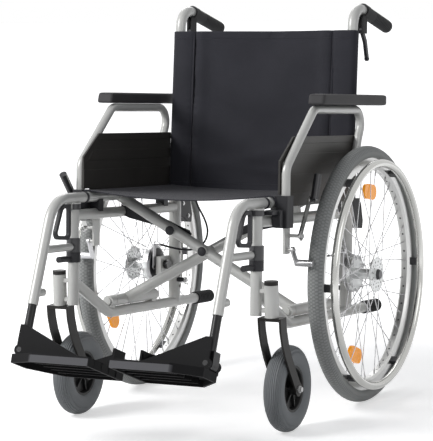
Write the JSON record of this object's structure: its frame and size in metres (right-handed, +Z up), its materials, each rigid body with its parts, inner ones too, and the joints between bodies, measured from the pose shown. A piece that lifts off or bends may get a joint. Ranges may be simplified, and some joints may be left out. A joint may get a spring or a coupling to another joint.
{
  "type": "folding wheelchair",
  "caption": "Self-propelled folding wheelchair with a grey tube frame, nylon seat and back, large rear wheels with handrims, front casters and swing-away footrests",
  "frame": {"origin": "on the floor in the middle of the chair's box", "axes": "+X the user's left, +Y back, +Z up"},
  "size_m": [0.6944, 1.0817, 0.9422],
  "materials": {
    "frame_paint": "light silver-grey powder coat",
    "dark_paint": "dark satin paint",
    "steel": "zinc plated steel",
    "bright_steel": "bright plated ring",
    "alloy": "satin alloy",
    "grey_tyre": "grey non-marking tyre",
    "black_rubber": "ribbed rubber",
    "pad_rubber": "soft grained pad",
    "black_plastic": "moulded plastic",
    "nylon": "woven nylon"
  },
  "bodies": {
    "left_frame": {"left_side_frame": "frame_paint", "left_back_post": "frame_paint", "left_grip": "black_rubber", "left_axle": "steel", "left_brake_plate": "black_plastic", "left_armrest_socket": "black_plastic", "left_tipping_lever": "black_rubber", "left_brake_cable": "black_plastic", "back_cloth": "nylon"},
    "front_arm": {"front_cross_arm": "frame_paint", "seat_cloth": "nylon"},
    "rear_arm": {"rear_cross_arm": "frame_paint"},
    "right_frame": {"right_side_frame": "frame_paint", "right_back_post": "frame_paint", "right_grip": "black_rubber", "right_axle": "steel", "right_brake_plate": "black_plastic", "right_armrest_socket": "black_plastic", "right_tipping_lever": "black_rubber", "right_brake_cable": "black_plastic"},
    "left_wheel": {"left_hub": "steel", "left_spokes": "steel", "left_rim": "alloy", "left_tyre": "grey_tyre", "left_handrim": "bright_steel"},
    "left_fork": {"left_caster_fork": "dark_paint"},
    "left_caster": {"left_caster_wheel": "grey_tyre"},
    "left_hanger_unit": {"left_hanger": "frame_paint", "left_hanger_loop": "black_rubber"},
    "left_latch": {"left_latch_lever": "black_plastic"},
    "left_footrest": {"left_footrest_tube": "dark_paint"},
    "left_plate": {"left_footplate": "black_plastic"},
    "left_armrest": {"left_armrest_tube": "frame_paint", "left_armrest_pad": "pad_rubber", "left_side_panel": "black_plastic"},
    "left_lock": {"left_lock_lever": "steel"},
    "left_lock_peg": {"left_lock_arm": "steel"},
    "left_brake_hand": {"left_brake_lever": "black_plastic"},
    "left_brake_cam": {"left_brake_arm": "steel"},
    "left_guide": {"left_guide_link": "dark_paint"},
    "right_wheel": {"right_hub": "steel", "right_spokes": "steel", "right_rim": "alloy", "right_tyre": "grey_tyre", "right_handrim": "bright_steel"},
    "right_fork": {"right_caster_fork": "dark_paint"},
    "right_caster": {"right_caster_wheel": "grey_tyre"},
    "right_hanger_unit": {"right_hanger": "frame_paint", "right_hanger_loop": "black_rubber"},
    "right_latch": {"right_latch_lever": "black_plastic"},
    "right_footrest": {"right_footrest_tube": "dark_paint"},
    "right_plate": {"right_footplate": "black_plastic"},
    "right_armrest": {"right_armrest_tube": "frame_paint", "right_armrest_pad": "pad_rubber", "right_side_panel": "black_plastic"},
    "right_lock": {"right_lock_lever": "steel"},
    "right_lock_peg": {"right_lock_arm": "steel"},
    "right_brake_hand": {"right_brake_lever": "black_plastic"},
    "right_brake_cam": {"right_brake_arm": "steel"},
    "right_guide": {"right_guide_link": "dark_paint"}
  },
  "joints": [
    {"name": "fold", "type": "hinge", "parent": "left_frame", "child": "front_arm", "pos_m": [0.234, 0.21105, 0.23619], "axis": [0, 0.9973, -0.0732], "range_deg": [0, 41], "deforming": ["seat_cloth", "back_cloth"]},
    {"name": "cross_pivot", "type": "hinge", "parent": "front_arm", "child": "rear_arm", "pos_m": [0, 0.22024, 0.36135], "axis": [0, 0.9973, -0.0732], "range_deg": [-82, 0]},
    {"name": "frame_fold", "type": "hinge", "parent": "rear_arm", "child": "right_frame", "pos_m": [-0.234, 0.21105, 0.23619], "axis": [0, 0.9973, -0.0732], "range_deg": [0, 41]},
    {"name": "left_guide_swing", "type": "hinge", "parent": "left_frame", "child": "left_guide", "pos_m": [0.224, 0.22804, 0.46756], "axis": [0, 0.9973, -0.0732], "range_deg": [0, 88.15]},
    {"name": "left_wheel_spin", "type": "hinge", "parent": "left_frame", "child": "left_wheel", "pos_m": [0.3007, 0.2161, 0.305], "axis": [1, 0, 0], "continuous": true},
    {"name": "left_caster_swivel", "type": "hinge", "parent": "left_frame", "child": "left_fork", "pos_m": [0.271, -0.2399, 0.3], "axis": [0, 0, 1], "continuous": true},
    {"name": "left_caster_spin", "type": "hinge", "parent": "left_fork", "child": "left_caster", "pos_m": [0.271, -0.1663, 0.098], "axis": [1, 0, 0], "continuous": true},
    {"name": "left_hanger_swing", "type": "hinge", "parent": "left_frame", "child": "left_hanger_unit", "pos_m": [0.234, -0.23235, 0.4382], "axis": [0, 0.0732, 0.9973], "range_deg": [0, 90]},
    {"name": "left_latch_turn", "type": "hinge", "parent": "left_hanger_unit", "child": "left_latch", "pos_m": [0.234, -0.23638, 0.38335], "axis": [0, 0.0732, 0.9973], "range_deg": [0, 25]},
    {"name": "left_footrest_slide", "type": "slide", "parent": "left_hanger_unit", "child": "left_footrest", "axis": [0, -0.4116, -0.9114], "range_m": [-0.03, 0.06]},
    {"name": "left_footplate_flip", "type": "hinge", "parent": "left_footrest", "child": "left_plate", "pos_m": [0.231, -0.46178, 0.20162], "axis": [0, 0.9272, -0.3746], "range_deg": [0, 90.2]},
    {"name": "left_armrest_lift", "type": "slide", "parent": "left_frame", "child": "left_armrest", "axis": [0, 0.0732, 0.9973], "range_m": [0, 0.12]},
    {"name": "left_lock_turn", "type": "hinge", "parent": "left_frame", "child": "left_lock", "pos_m": [0.279, -0.10226, 0.43466], "axis": [1, 0, 0], "range_deg": [0, 60]},
    {"name": "left_lock_press", "type": "hinge", "parent": "left_frame", "child": "left_lock_peg", "pos_m": [0.264, -0.11154, 0.40386], "axis": [1, 0, 0], "range_deg": [-15, 0]},
    {"name": "left_brake_squeeze", "type": "hinge", "parent": "left_frame", "child": "left_brake_hand", "pos_m": [0.234, 0.37648, 0.87779], "axis": [1, 0, 0], "range_deg": [0, 25], "stiffness_Nm_per_rad": 0.6, "springref_deg": -8.59, "deforming": ["left_brake_cable"]},
    {"name": "left_brake_pull", "type": "hinge", "parent": "left_frame", "child": "left_brake_cam", "pos_m": [0.2575, 0.18973, 0.30092], "axis": [1, 0, 0], "range_deg": [-15, 0]},
    {"name": "right_guide_swing", "type": "hinge", "parent": "right_frame", "child": "right_guide", "pos_m": [-0.224, 0.22804, 0.46756], "axis": [0, 0.9973, -0.0732], "range_deg": [-88.15, 0]},
    {"name": "right_wheel_spin", "type": "hinge", "parent": "right_frame", "child": "right_wheel", "pos_m": [-0.3007, 0.2161, 0.305], "axis": [1, 0, 0], "continuous": true},
    {"name": "right_caster_swivel", "type": "hinge", "parent": "right_frame", "child": "right_fork", "pos_m": [-0.271, -0.2399, 0.3], "axis": [0, 0, 1], "continuous": true},
    {"name": "right_caster_spin", "type": "hinge", "parent": "right_fork", "child": "right_caster", "pos_m": [-0.271, -0.1663, 0.098], "axis": [1, 0, 0], "continuous": true},
    {"name": "right_hanger_swing", "type": "hinge", "parent": "right_frame", "child": "right_hanger_unit", "pos_m": [-0.234, -0.23235, 0.4382], "axis": [0, 0.0732, 0.9973], "range_deg": [-90, 0]},
    {"name": "right_latch_turn", "type": "hinge", "parent": "right_hanger_unit", "child": "right_latch", "pos_m": [-0.234, -0.23638, 0.38335], "axis": [0, 0.0732, 0.9973], "range_deg": [-25, 0]},
    {"name": "right_footrest_slide", "type": "slide", "parent": "right_hanger_unit", "child": "right_footrest", "axis": [0, -0.4116, -0.9114], "range_m": [-0.03, 0.06]},
    {"name": "right_footplate_flip", "type": "hinge", "parent": "right_footrest", "child": "right_plate", "pos_m": [-0.231, -0.46178, 0.20162], "axis": [0, 0.9272, -0.3746], "range_deg": [-90.2, 0]},
    {"name": "right_armrest_lift", "type": "slide", "parent": "right_frame", "child": "right_armrest", "axis": [0, 0.0732, 0.9973], "range_m": [0, 0.12]},
    {"name": "right_lock_turn", "type": "hinge", "parent": "right_frame", "child": "right_lock", "pos_m": [-0.279, -0.10226, 0.43466], "axis": [1, 0, 0], "range_deg": [-60, 0]},
    {"name": "right_lock_press", "type": "hinge", "parent": "right_frame", "child": "right_lock_peg", "pos_m": [-0.264, -0.11154, 0.40386], "axis": [1, 0, 0], "range_deg": [0, 15]},
    {"name": "right_brake_squeeze", "type": "hinge", "parent": "right_frame", "child": "right_brake_hand", "pos_m": [-0.234, 0.37648, 0.87779], "axis": [1, 0, 0], "range_deg": [0, 25], "stiffness_Nm_per_rad": 0.6, "springref_deg": -8.59, "deforming": ["right_brake_cable"]},
    {"name": "right_brake_pull", "type": "hinge", "parent": "right_frame", "child": "right_brake_cam", "pos_m": [-0.2575, 0.18973, 0.30092], "axis": [1, 0, 0], "range_deg": [-15, 0]}
  ],
  "couplings": [
    {"joint": "cross_pivot", "follows": "fold", "ratio": -2},
    {"joint": "frame_fold", "follows": "fold", "ratio": 1},
    {"joint": "left_guide_swing", "follows": "fold", "ratio": 2.15},
    {"joint": "left_footplate_flip", "follows": "fold", "ratio": 2.2},
    {"joint": "left_lock_press", "follows": "left_lock_turn", "ratio": -0.25},
    {"joint": "left_brake_pull", "follows": "left_brake_squeeze", "ratio": -0.6},
    {"joint": "right_guide_swing", "follows": "fold", "ratio": -2.15},
    {"joint": "right_footplate_flip", "follows": "fold", "ratio": -2.2},
    {"joint": "right_lock_press", "follows": "right_lock_turn", "ratio": -0.25},
    {"joint": "right_brake_pull", "follows": "right_brake_squeeze", "ratio": -0.6}
  ]
}
